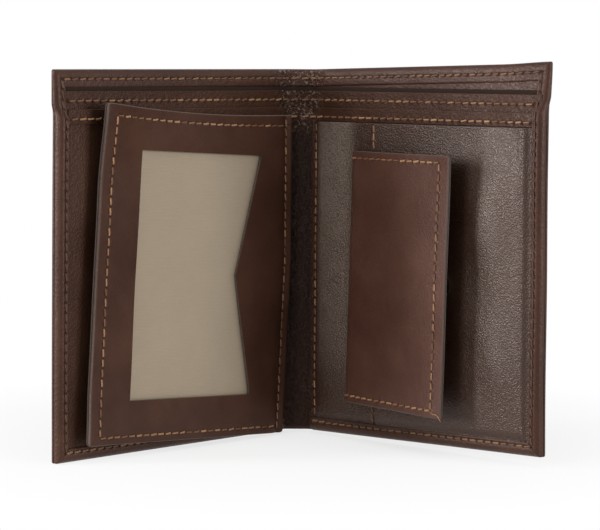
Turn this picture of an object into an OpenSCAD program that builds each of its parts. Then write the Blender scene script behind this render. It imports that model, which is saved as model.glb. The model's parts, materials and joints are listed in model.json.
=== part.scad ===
// Bifold wallet, standing half open on its lower edge.
// A leather shell runs across the spine and is turned over the free and lower edges.
// Inside it lie two note pockets. The left cover carries a sewn-in leaf with a window,
// and the right cover a coin pocket whose flap comes out of a slit.
// Origin: middle of the spine's shell at the floor. +Z is up, +X right, -Y out of the mouth.

/* [Covers] */
// Height of the covers along the spine
cover_h = 120; // [110:1:140]
// Width of each cover from its crease to its free edge
cover_w = 97; // [92:1:112]
// Width of the spine strip between the two creases
spine_w = 10; // [9:0.5:16]
// Radius of the corners at the free edges
corner_r = 2.5; // [1:0.5:4]
// Clearance left at each crease when the wallet is shut
crease_gap = 0.15; // [0.1:0.05:0.5]

/* [Folding] */
// Angle of each cover from flat as the wallet stands
rest_fold = 44; // [30:1:60]
// Angle of each cover from flat when the wallet is shut on its raised flaps
close_fold = 75; // [60:1:76]
// Lift of the window leaf from the left cover as the wallet stands
leaf_lift = 1.5; // [0:0.5:10]
// Lift of the coin flap from the right cover as the wallet stands
flap_lift = 9; // [4:0.5:12]

/* [Thicknesses] */
// Shell leather
shell_t = 1; // [0.8:0.1:1.4]
// Stiffening board glued inside each cover
board_t = 0.3; // [0.2:0.1:0.6]
// Lining cloth of the note pocket
lining_t = 0.3; // [0.2:0.1:0.5]
// Leather that divides the two note pockets
divider_t = 0.5; // [0.4:0.1:0.8]
// Leather of the inner panel
panel_t = 0.6; // [0.5:0.1:0.9]
// Turned-down band along the top of the inner panel
band_t = 0.5; // [0.3:0.1:0.8]
// Leather of the back and the front of the coin pocket
coin_t = 0.6; // [0.5:0.1:1]
// Strip sewn in between the back and the front of the coin pocket
gusset_t = 0.3; // [0.2:0.1:0.8]
// Gap between layers that lie on each other
layer_gap = 0.05; // [0.03:0.01:0.1]
// Gap between layers that form an empty pocket
pocket_gap = 0.2; // [0.15:0.05:0.4]

/* [Turned edges] */
// Thickness of the shell's pared leather where it is turned over the layers inside
hem_t = 0.8; // [0.6:0.1:1.2]
// Width of the shell's turned edge along each free edge
hem_w = 3.8; // [3:0.2:6]
// Height of the shell's turned edge along the bottom
hem_h = 4.5; // [3:0.5:7]
// Height of the shell's turned edge along the top
top_hem_h = 5.5; // [4:0.5:8]
// Thickness of the shell's pared turned edge along the top
top_hem_t = 0.7; // [0.5:0.1:1]
// Drop of the divider's top edge below the shell's
divider_drop = 7; // [6:0.5:10]
// Drop of the inner panel's top edge below the divider's
panel_drop = 5.5; // [5:0.5:8]
// Height of the inner panel's turned band
band_h = 4.5; // [3.5:0.5:6]

/* [Window leaf] */
// Width of the leaf from its hinge seam to its free edge
leaf_w = 80.4; // [74:0.2:82]
// Height of the leaf along its hinge seam
leaf_h = 105; // [98:1:105]
// Tilt of the leaf's hinge seam towards the crease
leaf_tilt = 2; // [0:0.5:3.5]
// Height of the leaf's hinge seam above the floor
leaf_base = 0.5; // [0.3:0.1:1]
// Leather of the leaf's front
frame_t = 0.9; // [0.6:0.1:1.2]
// Leather of the leaf's back
back_t = 0.7; // [0.5:0.1:1]
// Twill cloth behind the window
twill_t = 0.3; // [0.2:0.1:0.5]
// Leather left between the hinge seam and the window
window_hinge_margin = 12.7; // [9:0.1:16]
// Leather left between the window and the leaf's free edge
window_free_margin = 16.1; // [10:0.1:18]
// Leather left under the window
window_low_margin = 13.4; // [10:0.1:18]
// Leather left over the window
window_top_margin = 13.9; // [10:0.1:18]
// Depth of the thumb notch in the window's hinge side
notch_d = 8.8; // [4:0.1:12]
// Sewn margin of the leaf on the cover's side of its hinge
root_w = 1.6; // [1.2:0.1:3]
// Space between the leaf, laid flat, and the turned edge under it
leaf_clear = 0.3; // [0.25:0.05:0.6]

/* [Coin pocket] */
// Distance of the flap's slit from the crease
slit_s = 21.2; // [18:0.2:24]
// Distance of the pocket's mouth from the flap's slit
mouth_gap = 8; // [6:0.5:12]
// Width of the coin flap from its hinge to its free edge
flap_w = 47.8; // [44:0.2:52]
// Height of the coin flap
flap_h = 82; // [70:1:84]
// Height of the flap's lower edge above the floor
flap_base = 12; // [8:0.5:14]
// Leather of the flap
flap_leather_t = 0.9; // [0.6:0.1:1.2]
// Lining of the flap
flap_lining_t = 0.6; // [0.4:0.1:0.8]
// Space between the flap, parallel to the pocket, and the pocket's front
flap_clear = 0.3; // [0.25:0.05:0.6]
// Width of the strip sewn round the pocket's three closed sides
gusset_w = 4; // [3:0.5:6]

/* [Press stud] */
// Diameter of the stud's base and of the socket
stud_d = 9; // [8:0.5:12]
// Diameter of the stud's post
post_d = 4; // [3:0.5:5]
// Height of the stud's post above its base
post_h = 1.3; // [1:0.1:1.4]
// Thickness of the stud's base
stud_base_t = 0.8; // [0.6:0.1:1]
// Thickness of the socket ring
socket_t = 1.2; // [1:0.1:1.4]
// Gap round the post inside the socket
stud_fit = 0.3; // [0.25:0.05:0.5]
// Distance of the press stud from the flap's free edge
stud_inset = 10; // [8:0.5:14]

/* [Thread] */
// Width of a seam's thread
thread_w = 0.6; // [0.4:0.1:1]
// Height of a seam's thread above the leather
thread_h = 0.25; // [0.15:0.05:0.4]
// Distance of a seam from the edge that it follows
seam_inset = 3; // [2:0.1:3.4]
// Distance of a turned edge's seam from the border of the turned leather
hem_seam = 1.2; // [0.8:0.1:2]
// Distance of the seams from the free edges of the leaf and the flap
rim_seam = 4.2; // [3:0.1:6]

/* [Hidden] */
$fn = 48;

// Colours as the photograph shows them
leather_brown = [0.30, 0.20, 0.17];
edge_brown = [0.24, 0.15, 0.13];
flap_brown = [0.27, 0.16, 0.14];
thread_tan = [0.66, 0.43, 0.28];
twill_beige = [0.68, 0.62, 0.53];
lining_brown = [0.20, 0.14, 0.12];
board_grey = [0.55, 0.50, 0.44];
stud_metal = [0.62, 0.55, 0.40];

// Depths of the layers, measured inwards from the shell's outer face
board_n = shell_t + layer_gap;
lining_n = board_n + board_t + layer_gap;
divider_n = lining_n + lining_t + pocket_gap;
divider_face = divider_n + divider_t;
panel_n = divider_face + pocket_gap;
panel_face = panel_n + panel_t;
band_face = panel_face + band_t;
top_hem_face = shell_t + top_hem_t;
coin_back_n = panel_face + layer_gap;
coin_back_face = coin_back_n + coin_t;
gusset_n = coin_back_face + layer_gap;
coin_front_n = gusset_n + gusset_t + layer_gap;
coin_face = coin_front_n + coin_t;
hem_n = panel_face + layer_gap;
hem_face = hem_n + hem_t;

// Heights of the layers
divider_h = cover_h - divider_drop;
panel_h = divider_h - panel_drop;
band_z = panel_h - band_h;
inner_z = shell_t + layer_gap;
hem_inner_z = hem_h + layer_gap;
inner_s = cover_w - shell_t - layer_gap;
hem_inner_s = cover_w - hem_w - layer_gap;

// Distance from the crease at which a layer starts, so that it clears the spine when shut
function crease_start(n) = n * tan(close_fold / 2) + crease_gap;
layer_start = crease_start(panel_face);

// The leaf turns about the middle of its thickness
leaf_t = back_t + twill_t + frame_t + 2 * layer_gap;
leaf_n = hem_face + leaf_clear + leaf_t / 2;
leaf_foot_s = layer_start + layer_gap + root_w + leaf_h * sin(leaf_tilt);
// The coin flap turns about the middle of its thickness
flap_t = flap_leather_t + flap_lining_t + layer_gap;
flap_n = coin_face + flap_clear + flap_t / 2;
mouth_s = slit_s + mouth_gap;
stud_u = flap_w - stud_inset;
stud_s = slit_s + stud_u;
stud_z = flap_base + flap_h / 2;
// Play between a hinge's axis and the pieces that turn on it
hinge_play = 0.25;
// The flap's sewn end is a little shorter than its slit
slit_end = 0.5;
// A cut runs past the face that it opens
cut = 1;
// Depths overlap by this much where two boxes make one piece
weld = 0.02;

// The local frame of a cover has X away from the crease, -Y inwards and Z up
module place_right() {
    translate([spine_w / 2, shell_t / 2, 0]) rotate([0, 0, -rest_fold]) children();
}

module place_left() {
    mirror([1, 0, 0]) place_right() children();
}

module place_spine() {
    translate([0, shell_t / 2, 0]) children();
}

// The leaf's own frame has its hinge seam on Z and its front towards -Y
module place_leaf(lift) {
    place_left() translate([leaf_foot_s, -leaf_n, leaf_base]) rotate([0, -leaf_tilt, 0])
        rotate([0, 0, -lift]) children();
}

// The coin flap's own frame has its hinge on Z and its front towards -Y
module place_flap(lift) {
    place_right() translate([slit_s, -flap_n, flap_base]) rotate([0, 0, -lift]) children();
}

// Flat layer from s0 to s1, from z0 to z1, whose outer face lies n inwards
module layer(s0, s1, n, t, z0, z1) {
    translate([s0, -n - t, z0]) cube([s1 - s0, t, z1 - z0]);
}

// Straight run of thread along the cover, or up it
module thread_across(s0, s1, n, z) {
    layer(s0, s1, n, thread_h, z - thread_w / 2, z + thread_w / 2);
}

module thread_up(s, n, z0, z1) {
    layer(s - thread_w / 2, s + thread_w / 2, n, thread_h, z0, z1);
}

// Flat shape drawn in the cover's plane, stood up as a sheet with its outer face n inwards
module sheet(n, t) {
    translate([0, -n, 0]) rotate([90, 0, 0]) linear_extrude(t) children();
}

// What a wall of thickness t loses at its crease, so that its slanted end clears the spine's
// when the wallet is shut
module crease_cut(t) {
    translate([0, 0, -cut]) linear_extrude(cover_h + 2 * cut)
        polygon([
            [-cut, cut], [crease_start(-cut), cut],
            [crease_start(t + cut), -t - cut], [-cut, -t - cut]
        ]);
}

// Outline of a cover with round corners at its free edge, drawn in by a margin
module cover_outline(start, margin) {
    r = corner_r - min(margin, corner_r - 0.5);
    end = cover_w - margin;
    translate([start, margin]) square([end - r - start, cover_h - 2 * margin]);
    translate([end - r - weld, margin + r]) square([r + weld, cover_h - 2 * (margin + r)]);
    for (z = [margin + r, cover_h - margin - r]) translate([end - r, z]) circle(r);
}

// Shell of a cover: outer wall with its free and lower edges turned over the layers inside,
// and its top edge turned down behind the note pocket
module cover_shell() {
    low_face = top_hem_face + hem_t;
    difference() {
        sheet(0, hem_face) cover_outline(0, 0);
        crease_cut(shell_t);
        // room for the layers that the turned edges hold
        layer(0, cover_w - shell_t, shell_t, hem_n - shell_t, shell_t, panel_h + layer_gap);
        // the turned edges are open in the middle
        layer(0, cover_w - hem_w, shell_t, hem_face, hem_h, cover_h + cut);
        // near the spine the shell is a single wall
        layer(0, layer_start, shell_t, hem_face, -cut, cover_h + cut);
        // above the layers the turned free edge lies down on the shell
        layer(0, cover_w + cut, low_face, hem_face, panel_h + layer_gap, cover_h + cut);
    }
    layer(crease_start(top_hem_face), cover_w - hem_w + weld, shell_t - weld, top_hem_t + weld,
        cover_h - top_hem_h, cover_h);
}

// Stiffening board and pocket lining stop under the shell's turned top edge
module cover_board() {
    layer(crease_start(board_n + board_t), inner_s, board_n, board_t, inner_z, panel_h);
}

module cover_lining() {
    s0 = crease_start(lining_n + lining_t);
    layer(s0, inner_s, lining_n, lining_t, inner_z, panel_h);
    layer(s0, hem_inner_s, lining_n, lining_t, panel_h - weld, cover_h - top_hem_h - layer_gap);
}

module cover_divider() {
    s0 = crease_start(divider_face);
    layer(s0, inner_s, divider_n, divider_t, inner_z, panel_h);
    layer(s0, hem_inner_s, divider_n, divider_t, panel_h - weld, divider_h);
}

// Inner panel with its top edge turned down over its front
module cover_panel() {
    layer(layer_start, inner_s, panel_n, panel_t, inner_z, panel_h);
    layer(crease_start(band_face), hem_inner_s, panel_face - weld, band_t + weld, band_z, panel_h);
}

// Seam rows along the top edges of the shell, the divider and the inner panel
module seam_row_top() {
    n = top_hem_face;
    thread_across(crease_start(n + thread_h), cover_w - hem_w, n, cover_h - seam_inset);
}

module seam_row_divider() {
    n = divider_face;
    thread_across(crease_start(n + thread_h), hem_inner_s, n, divider_h - seam_inset);
}

module seam_row_panel() {
    n = band_face;
    thread_across(crease_start(n + thread_h), hem_inner_s, n, panel_h - seam_inset);
}

// Seam of the turned edges: along the bottom and up the free edge, where it steps down
// onto the shell above the inner panel
module seam_edge() {
    s = cover_w - hem_w + hem_seam;
    z = hem_h - hem_seam;
    thread_across(layer_start, s, hem_face, z);
    thread_up(s, hem_face, z - thread_w / 2, panel_h);
    thread_up(s, top_hem_face + hem_t, panel_h + 2 * layer_gap, cover_h - seam_inset);
}

// Spine
module shell_spine() {
    half = spine_w / 2;
    color(leather_brown) place_spine() {
        difference() {
            layer(-half, half, 0, shell_t, 0, cover_h);
            translate([-half, 0, 0]) crease_cut(shell_t);
            mirror([1, 0, 0]) translate([-half, 0, 0]) crease_cut(shell_t);
        }
        s = half - crease_start(top_hem_face);
        layer(-s, s, shell_t - weld, top_hem_t + weld, cover_h - top_hem_h, cover_h);
    }
}

module lining_spine() {
    s = spine_w / 2 - crease_start(lining_n + lining_t);
    color(lining_brown) place_spine()
        layer(-s, s, lining_n, lining_t, inner_z, cover_h - top_hem_h - layer_gap);
}

module divider_spine() {
    s = spine_w / 2 - crease_start(divider_face);
    color(leather_brown) place_spine() layer(-s, s, divider_n, divider_t, inner_z, divider_h);
}

module panel_spine() {
    s = spine_w / 2 - layer_start;
    band_s = spine_w / 2 - crease_start(band_face);
    color(leather_brown) place_spine() {
        layer(-s, s, panel_n, panel_t, inner_z, panel_h);
        layer(-band_s, band_s, panel_face - weld, band_t + weld, band_z, panel_h);
    }
}

// The three seam rows where they cross the spine
module seams_spine() {
    rows = [
        [top_hem_face, cover_h], [divider_face, divider_h], [band_face, panel_h]
    ];
    color(thread_tan) place_spine() for (row = rows) {
        s = spine_w / 2 - crease_start(row[0] + thread_h);
        thread_across(-s, s, row[0], row[1] - seam_inset);
    }
}

// Left cover
module shell_left() { color(edge_brown) place_left() cover_shell(); }
module board_left() { color(board_grey) place_left() cover_board(); }
module lining_left() { color(lining_brown) place_left() cover_lining(); }
module divider_left() { color(leather_brown) place_left() cover_divider(); }
module panel_left() { color(leather_brown) place_left() cover_panel(); }
module seam_top_left() { color(thread_tan) place_left() seam_row_top(); }
module seam_divider_left() { color(thread_tan) place_left() seam_row_divider(); }
module seam_panel_left() { color(thread_tan) place_left() seam_row_panel(); }
module seam_edge_left() { color(thread_tan) place_left() seam_edge(); }

// Sewn margin of the leaf, between the turned bottom edge and the panel's band
root_low = hem_inner_z + layer_gap;
root_high = band_z - layer_gap;
root_face = leaf_t / 2;

module leaf_root() {
    depth = leaf_n - hem_n;
    color(flap_brown) place_leaf(0)
        translate([-root_w, -root_face, root_low]) cube([root_w - hinge_play, depth + root_face,
            root_high - root_low - leaf_base]);
}

module seam_leaf_root() {
    color(thread_tan) place_leaf(0)
        thread_up(-root_w / 2, root_face, root_low + thread_w, root_high - leaf_base - thread_w);
}

// Right cover
module shell_right() { color(edge_brown) place_right() cover_shell(); }
module board_right() { color(board_grey) place_right() cover_board(); }
module lining_right() { color(lining_brown) place_right() cover_lining(); }
module divider_right() { color(leather_brown) place_right() cover_divider(); }
module panel_right() { color(leather_brown) place_right() cover_panel(); }
module seam_top_right() { color(thread_tan) place_right() seam_row_top(); }
module seam_divider_right() { color(thread_tan) place_right() seam_row_divider(); }
module seam_panel_right() { color(thread_tan) place_right() seam_row_panel(); }
module seam_edge_right() { color(thread_tan) place_right() seam_edge(); }

// Coin pocket, inside the turned edges: back with the flap's slit, a strip round three
// sides and a front
coin_top = band_z - layer_gap;

module coin_back() {
    color(leather_brown) place_right() difference() {
        layer(layer_start, hem_inner_s, coin_back_n, coin_t, hem_inner_z, coin_top);
        layer(slit_s - root_w, slit_s, coin_back_n - cut, coin_t + 2 * cut, flap_base,
            flap_base + flap_h);
    }
}

module coin_gusset() {
    color(lining_brown) place_right() difference() {
        layer(mouth_s, hem_inner_s, gusset_n, gusset_t, hem_inner_z, coin_top);
        layer(mouth_s - cut, hem_inner_s - gusset_w, gusset_n - cut, gusset_t + 2 * cut,
            hem_inner_z + gusset_w, coin_top - gusset_w);
    }
}

module coin_front() {
    color(leather_brown) place_right()
        layer(mouth_s, hem_inner_s, coin_front_n, coin_t, hem_inner_z, coin_top);
}

module seam_coin_back() {
    color(thread_tan) place_right()
        thread_up(layer_start + seam_inset, coin_back_face, hem_inner_z, coin_top);
}

// The mouth's seam shows above and below the flap
module seam_coin_mouth() {
    s = mouth_s + hem_seam;
    flap_top = flap_base + flap_h;
    color(thread_tan) place_right() {
        thread_up(s, coin_face, hem_inner_z, flap_base - thread_w);
        thread_up(s, coin_face, flap_top + thread_w, coin_top);
    }
}

// Sewn end of the coin flap, standing in its slit
module flap_root() {
    color(flap_brown) place_right()
        layer(slit_s - root_w + layer_gap, slit_s - hinge_play, coin_back_n,
            flap_n + flap_t / 2 - coin_back_n, flap_base + slit_end, flap_base + flap_h - slit_end);
}

// Round press-stud part with its axis across the cover
module disc(n, t, d) {
    translate([0, -n, 0]) rotate([90, 0, 0]) cylinder(h = t, d = d);
}

module stud_post() {
    color(stud_metal) place_right() translate([stud_s, 0, stud_z]) {
        disc(coin_face, stud_base_t, stud_d);
        disc(coin_face + stud_base_t - weld, post_h + weld, post_d);
    }
}

// Window leaf, laid out from its back to its front
leaf_back_n = -leaf_t / 2;
leaf_twill_n = leaf_back_n + back_t + layer_gap;
leaf_front_n = leaf_twill_n + twill_t + layer_gap;

// Window with a thumb notch half way up its hinge side
module window_shape() {
    u0 = window_hinge_margin;
    u1 = leaf_w - window_free_margin;
    v0 = window_low_margin;
    v1 = leaf_h - window_top_margin;
    polygon([[u0, v0], [u1, v0], [u1, v1], [u0, v1], [u0 + notch_d, (v0 + v1) / 2]]);
}

module leaf_front() {
    color(flap_brown) place_leaf(leaf_lift) sheet(leaf_front_n, frame_t) difference() {
        translate([hinge_play, 0]) square([leaf_w - hinge_play, leaf_h]);
        window_shape();
    }
}

module leaf_twill() {
    m = rim_seam / 2;
    color(twill_beige) place_leaf(leaf_lift) layer(m, leaf_w - m, leaf_twill_n, twill_t, m, leaf_h - m);
}

module leaf_back() {
    color(flap_brown) place_leaf(leaf_lift) layer(hinge_play, leaf_w, leaf_back_n, back_t, 0, leaf_h);
}

// Seam round three sides of a flap: bottom, top and free edge
module rim_thread(w, h, face) {
    for (z = [seam_inset, h - seam_inset]) thread_across(rim_seam, w - rim_seam, face, z);
    thread_up(w - rim_seam, face, seam_inset - thread_w / 2, h - seam_inset + thread_w / 2);
}

module seam_leaf() {
    color(thread_tan) place_leaf(leaf_lift) rim_thread(leaf_w, leaf_h, leaf_t / 2);
}

// Coin flap: lining, the stud's hidden cap, then the leather
flap_lining_n = -flap_t / 2;
flap_leather_n = flap_lining_n + flap_lining_t + layer_gap;
cap_t = flap_leather_t / 2;

module flap_leather() {
    color(flap_brown) place_flap(flap_lift) difference() {
        layer(hinge_play, flap_w, flap_leather_n, flap_leather_t, 0, flap_h);
        // pocket for the stud's cap
        translate([stud_u, 0, flap_h / 2]) disc(flap_leather_n - cut, cap_t + cut, stud_d + stud_fit);
    }
}

module flap_lining() {
    color(lining_brown) place_flap(flap_lift)
        layer(hinge_play, flap_w, flap_lining_n, flap_lining_t, 0, flap_h);
}

module stud_cap() {
    color(stud_metal) place_flap(flap_lift) translate([stud_u, 0, flap_h / 2])
        disc(flap_leather_n, cap_t - layer_gap, stud_d);
}

module stud_socket() {
    color(stud_metal) place_flap(flap_lift) translate([stud_u, 0, flap_h / 2]) difference() {
        disc(flap_lining_n - socket_t, socket_t, stud_d);
        disc(flap_lining_n - socket_t - cut, socket_t + 2 * cut, post_d + 2 * stud_fit);
    }
}

module seam_flap() {
    color(thread_tan) place_flap(flap_lift) rim_thread(flap_w, flap_h, flap_t / 2);
}

shell_spine();
lining_spine();
divider_spine();
panel_spine();
seams_spine();
shell_left();
board_left();
lining_left();
divider_left();
panel_left();
seam_top_left();
seam_divider_left();
seam_panel_left();
seam_edge_left();
leaf_root();
seam_leaf_root();
shell_right();
board_right();
lining_right();
divider_right();
panel_right();
seam_top_right();
seam_divider_right();
seam_panel_right();
seam_edge_right();
coin_back();
coin_gusset();
coin_front();
seam_coin_back();
seam_coin_mouth();
flap_root();
stud_post();
leaf_front();
leaf_twill();
leaf_back();
seam_leaf();
flap_leather();
flap_lining();
stud_cap();
stud_socket();
seam_flap();
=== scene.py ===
import itertools
import json
import math

import bmesh
import bpy
import numpy as np
from mathutils import Matrix, Vector


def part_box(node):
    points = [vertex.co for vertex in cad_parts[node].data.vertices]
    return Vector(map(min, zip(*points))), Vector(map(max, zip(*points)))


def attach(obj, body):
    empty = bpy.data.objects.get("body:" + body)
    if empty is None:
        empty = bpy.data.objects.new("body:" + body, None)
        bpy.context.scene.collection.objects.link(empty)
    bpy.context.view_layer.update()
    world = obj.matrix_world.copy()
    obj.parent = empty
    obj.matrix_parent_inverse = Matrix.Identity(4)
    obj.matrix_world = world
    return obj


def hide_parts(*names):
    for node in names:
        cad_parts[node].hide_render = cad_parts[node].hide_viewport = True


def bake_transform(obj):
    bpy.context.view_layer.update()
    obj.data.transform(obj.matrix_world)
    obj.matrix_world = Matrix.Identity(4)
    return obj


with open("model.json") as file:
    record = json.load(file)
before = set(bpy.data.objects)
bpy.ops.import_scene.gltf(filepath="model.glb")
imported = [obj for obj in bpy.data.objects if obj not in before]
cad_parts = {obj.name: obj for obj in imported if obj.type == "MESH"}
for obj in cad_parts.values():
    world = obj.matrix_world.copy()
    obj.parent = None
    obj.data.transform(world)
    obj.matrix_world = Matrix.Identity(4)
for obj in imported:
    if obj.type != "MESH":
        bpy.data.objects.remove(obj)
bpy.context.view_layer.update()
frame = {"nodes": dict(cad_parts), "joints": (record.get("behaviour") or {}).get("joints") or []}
print("frame loaded,", len(frame["nodes"]), "nodes")

mm = 0.001
joints = {joint["name"]: joint for joint in frame["joints"]}
fold = joints["right_fold"]

# Sizes below are in millimetres. Places on a cover are given as
# s: distance from the crease, t: the same measured from the middle of the spine
# along the shell, n: depth inwards from the shell's outer face, z: height.
cover = {
    "height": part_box("shell_spine")[1].z / mm,
    "width": 97.0,
    "creaseHalf": fold["pos_m"][0] / mm,
    "outerFace": fold["pos_m"][1] / mm,
    "fold": math.radians(-fold["range_deg"][0]),
    "bendRadius": 6.0,
    "hingeReach": 3.2,  # the leather bends this far to each side of a crease
    "overlap": 0.15,  # the halves of a sheet meet in the middle of the spine
    "splay": 0.0133,  # the lower corners stand further open than the upper ones
    "lift": {-1: -0.0051, 1: 0.0256},  # the covers are a little out of square
    "seamEnd": 92.6,  # s at which the seams of the inner layers end
}
tangent = cover["bendRadius"] * math.tan(cover["fold"] / 2)
cover["arcStart"] = cover["creaseHalf"] - tangent
cover["arcLength"] = cover["bendRadius"] * cover["fold"]
creaseT = cover["arcStart"] + cover["arcLength"] - tangent
edgeT = creaseT + cover["width"]
sideName = {-1: "left", 1: "right"}
# For each hinged piece: the bodies it joins, its joint, its side and how far it bends
hinges = {
    "leaf": ("left_cover", "window_leaf", joints["leaf_swing"], -1, 1.4),
    "flap": ("right_cover", "coin_flap", joints["flap_lift"], 1, 1.6),
}
thread = {
    "pitch": 3.05, "length": 2.75, "width": 0.62, "height": 0.36, "sides": 8, "rings": 9,
    "sink": 0.04,  # stitches lie this deep in their seam's furrow
}


def smooth(x, low, high):
    f = np.clip((np.asarray(x, float) - low) / (high - low), 0, 1)
    return f * f * (3 - 2 * f)


def waves(a, b, size, seed, count=6):
    # gentle unevenness between -1 and 1, of about that size in mm
    draw = np.random.default_rng(seed)
    total = 0
    for _ in range(count):
        turn, phase = draw.uniform(0, 2 * math.pi, 2)
        pitch = size * draw.uniform(0.7, 1.6)
        along = a * math.cos(turn) + b * math.sin(turn)
        total = total + np.sin(2 * math.pi * along / pitch + phase)
    return total / count ** 0.5 / 1.6


def bump(x, middle, width):
    return np.exp(-(((x - middle) / width) ** 2))


def place(side, t, n, z, follow="low"):
    # from a place on the wallet to a point in the frame, in mm
    t, n, z = np.broadcast_arrays(*(np.asarray(a, float) for a in (t, n, z)))
    s = np.maximum(t - creaseT, 0)
    n = n - cover["splay"] * s * (1 - z / cover["height"])
    # the shell is lifted at full height, what lies in it only along its lower edge,
    # and what is only sewn to it along a hinge stays level
    held = {"full": 1.0, "low": 1 - smooth(z, 3, 48), "level": 0.0}[follow]
    z = z + cover["lift"][side] * s * held
    radius = cover["bendRadius"]
    turn = np.clip((t - cover["arcStart"]) / radius, 0, cover["fold"])
    beyond = np.maximum(t - cover["arcStart"] - cover["arcLength"], 0)
    x = np.minimum(t, cover["arcStart"]) + (radius - n) * np.sin(turn) + beyond * np.cos(turn)
    y = cover["outerFace"] - radius + (radius - n) * np.cos(turn) - beyond * np.sin(turn)
    return np.stack([side * x, y, z], -1)


def gridLines(low, high, step, marks=()):
    # grid lines that lie closer at the edges and beside seams
    found = list(np.linspace(low, high, max(2, round((high - low) / step) + 1)))
    for f in (0, 0.03, 0.1, 0.22, 0.4, 0.7, 1.1):
        found += [low + f, high - f]
    found += [mark + f for mark in marks for f in (-1.0, -0.6, -0.3, 0, 0.3, 0.6, 1.0)]
    kept = [low]
    for f in sorted(f for f in found if low <= f <= high):
        if f - kept[-1] > 0.025:
            kept.append(f)
    kept[-1] = high
    return np.array(kept)


def denser(lines, start, end, step):
    # more lines on a part of the grid, where the leather bends
    lines = np.unique(np.concatenate([lines, np.arange(start, end, step)]))
    return lines[lines <= max(lines[-1], end)]


def roundCorners(u, v, box, radius):
    # draws the corners of a rectangle in to arcs
    u0, u1, v0, v1 = box
    for uEdge, uSign, vEdge, vSign in ((u0, 1, v0, 1), (u0, 1, v1, -1), (u1, -1, v0, 1),
                                       (u1, -1, v1, -1)):
        p = 1 - (u - uEdge) * uSign / radius
        q = 1 - (v - vEdge) * vSign / radius
        near = (p > 0) & (q > 0)
        p, q = np.where(near, p, 0), np.where(near, q, 0)
        uNew = uEdge + uSign * radius * (1 - p * np.sqrt(1 - q * q / 2))
        vNew = vEdge + vSign * radius * (1 - q * np.sqrt(1 - p * p / 2))
        u, v = np.where(near, uNew, u), np.where(near, vNew, v)
    return u, v


def edgeProfile(distance, radius):
    # a sheet's thickness near its rounded edge, as a share of the full one
    x = np.clip(distance / radius, 0, 1)
    return np.sqrt(1 - (1 - x) ** 2)


def link(obj):
    bpy.context.scene.collection.objects.link(obj)
    return obj


def paint(obj, name, values):
    layer = obj.data.attributes.new(name, "FLOAT", "POINT")
    layer.data.foreach_set("value", np.asarray(values, float).ravel())


def makeObject(name, points, faces, uv=None, flip=False, tags=None, sharp=50):
    mesh = bpy.data.meshes.new(name)
    if flip:
        faces = [tuple(reversed(f)) for f in faces]
    mesh.from_pydata([tuple(p) for p in np.asarray(points) * mm], [], faces)
    if uv is not None:
        layer = mesh.uv_layers.new(name="UVMap")
        corner = np.empty(len(mesh.loops), int)
        mesh.loops.foreach_get("vertex_index", corner)
        layer.data.foreach_set("uv", (np.asarray(uv)[corner] * mm).ravel())
    if tags is not None:
        mesh.polygons.foreach_set("material_index", tags)
    mesh.validate()
    mesh.shade_smooth()
    mesh.set_sharp_from_angle(angle=math.radians(sharp))
    return link(bpy.data.objects.new(name, mesh))


def outwards(obj):
    work = bmesh.new()
    work.from_mesh(obj.data)
    bmesh.ops.recalc_face_normals(work, faces=work.faces)
    work.to_mesh(obj.data)
    work.free()


def stitchCount(length):
    return max(2, round(length / thread["pitch"]))


def markSeams(obj, u, v, seams, shown=1):
    # tells the leather how near each point is to a seam, and how far along it in stitches;
    # a seam is ("u" or "v", its place, where it starts, where it ends)
    near = np.zeros(len(u))
    phase = np.zeros(len(u))
    for axis, at, start, end in seams:
        across, along = (u, v) if axis == "u" else (v, u)
        close = bump(across, at, 0.5) * ((along > start - 0.4) & (along < end + 0.4))
        step = (end - start) / stitchCount(end - start)
        phase = np.where(close > near, (along - start) / step, phase)
        near = np.maximum(near, close)
    paint(obj, "seamNear", near * shown)
    paint(obj, "seamPhase", phase)


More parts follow.
